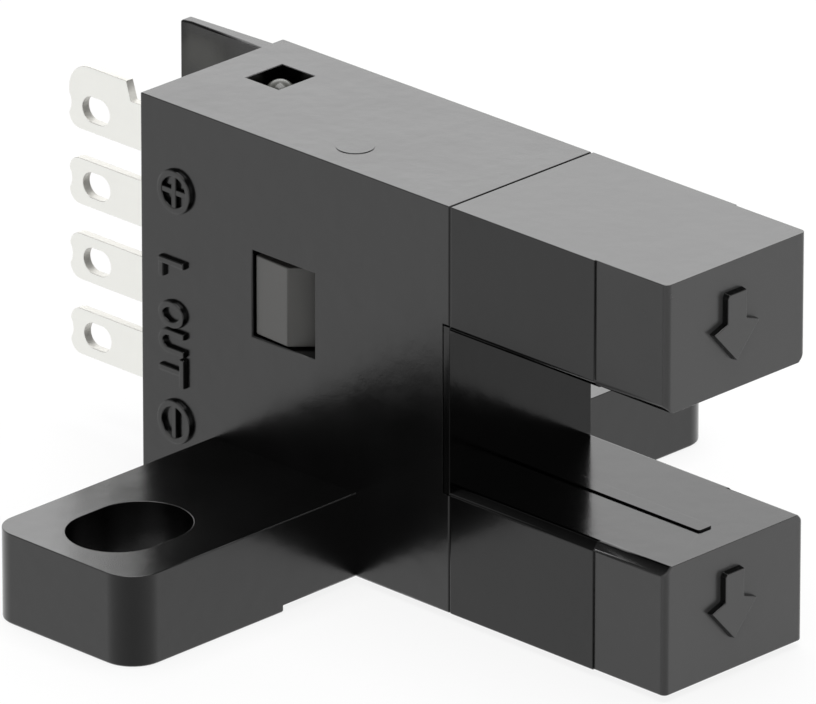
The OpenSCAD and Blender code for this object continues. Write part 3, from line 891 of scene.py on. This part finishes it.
def build_floor():
    """A wide pale floor that stays white to the camera and keeps a soft shadow."""
    mesh = bpy.data.meshes.new("studio_floor")
    signs = ((-1, -1), (1, -1), (1, 1), (-1, 1))
    corners = [(x * FLOOR_REACH, y * FLOOR_REACH, FLOOR_Z) for x, y in signs]
    mesh.from_pydata(corners, [], [(0, 1, 2, 3)])
    floor = bpy.data.objects.new("studio_floor", mesh)
    bpy.context.scene.collection.objects.link(floor)
    floor.visible_glossy = False
    material, wire = new_material("studio_floor")
    seen = wire.node("ShaderNodeLightPath", out="Is Camera Ray")
    matt = wire.node("ShaderNodeBsdfDiffuse", {"Color": grey(FLOOR_LEVEL)})
    white = wire.node("ShaderNodeEmission", {"Color": grey(1.0), "Strength": 1.0})
    shown = wire.node("ShaderNodeMixShader", {0: seen * FLOOR_WHITENESS, 1: matt, 2: white})
    wire.node("ShaderNodeOutputMaterial", {"Surface": shown})
    mesh.materials.append(material)


def build_surroundings():
    """A white table between pale walls, brightest behind the part and dim on the left and higher up."""
    world = bpy.data.worlds.new("studio_room")
    world.use_nodes = True
    world.node_tree.nodes.clear()
    wire = Wire(world.node_tree)
    bpy.context.scene.world = world
    outward = wire.node("ShaderNodeTexCoord", out="Generated")
    height = outward.axis("Z")
    side = outward.towards(VIEW_RIGHT)
    depth = outward.towards(VIEW_AWAY) * 0.5 + 0.5

    # Levels from the camera's side, at 0, to the side behind the part, at 1
    table = depth.ramp((0.0, 0.42), (0.3, 0.68), (0.5, 0.99), (0.7, 1.12), (1.0, 1.4))
    walls = depth.ramp((0.0, 1.0), (0.25, 0.5), (0.5, 0.08), (0.8, 0.9), (0.95, 1.70))
    room = depth.ramp((0.0, 0.25), (0.3, 0.12), (0.62, 0.08), (0.8, 0.88), (0.95, 1.70))

    # The table falls off a little to the right, where the wall is pale
    falloff = {0: table, "Scale": 1 - side * 0.03}
    table = wire.node("ShaderNodeVectorMath", falloff, {"operation": "SCALE"})
    right_wall = (side * 0.5 + 0.5).ramp((0.6, 0.0), (0.95, 0.5))
    walls = wire.math("MAXIMUM", walls, right_wall)

    above_table = wire.mix(height.above(0.5, 0.2), walls, room)
    level = wire.mix(height.above(0.0, 0.12), table, above_table)
    seen = wire.node("ShaderNodeLightPath", out="Is Camera Ray")
    colour = wire.mix(seen, level, grey(1.0))
    light = wire.node("ShaderNodeBackground", {"Color": colour, "Strength": 1.0})
    wire.node("ShaderNodeOutputWorld", {"Surface": light})


def heading(azimuth, elevation):
    """The direction from the part to a place, turned from the near side and raised."""
    reach = math.cos(elevation)
    return Vector((math.sin(azimuth) * reach, -math.cos(azimuth) * reach, math.sin(elevation)))


def add_softbox(name, azimuth, elevation, distance, size, power):
    """A rectangular area lamp that faces the part."""
    lamp = bpy.data.lights.new(name, "AREA")
    lamp.shape = "RECTANGLE"
    lamp.size, lamp.size_y = size
    lamp.energy = power
    holder = bpy.data.objects.new(name, lamp)
    bpy.context.scene.collection.objects.link(holder)
    outward = heading(azimuth, elevation)
    holder.location = Vector((0, 0, MID_Z)) + distance * outward
    holder.rotation_euler = outward.to_track_quat("Z", "Y").to_euler()
    holder.visible_camera = False


def build_camera():
    """The camera that took the photograph, as fitted to the part's straight edges."""
    camera = bpy.data.cameras.new("photo_camera")
    camera.sensor_fit = "HORIZONTAL"
    camera.sensor_width = SENSOR_WIDTH
    camera.lens = SENSOR_WIDTH * FOCAL_PIXELS / IMAGE_WIDTH
    holder = bpy.data.objects.new("photo_camera", camera)
    bpy.context.scene.collection.objects.link(holder)
    back = heading(VIEW_AZIMUTH, VIEW_ELEVATION)
    turn = Matrix((VIEW_RIGHT, back.cross(VIEW_RIGHT), back)).transposed()
    holder.matrix_world = Matrix.Translation(VIEW_AIM + VIEW_DISTANCE * back) @ turn.to_4x4()
    bpy.context.scene.camera = holder


dress_inner_nodes()
build_mouldings()
build_terminals()
build_indicator()
build_terminal_marks()
build_arrows()
build_chip_caps()
build_floor()
build_surroundings()
add_softbox("back_softbox", VIEW_AZIMUTH + math.pi, math.radians(30),
            distance=0.5, size=(0.5, 0.35), power=0.34)
add_softbox("top_softbox", 0.0, math.radians(90),
            distance=1.0, size=(0.8, 0.8), power=10.0)
build_camera()
bpy.context.scene.view_settings.view_transform = "Standard"
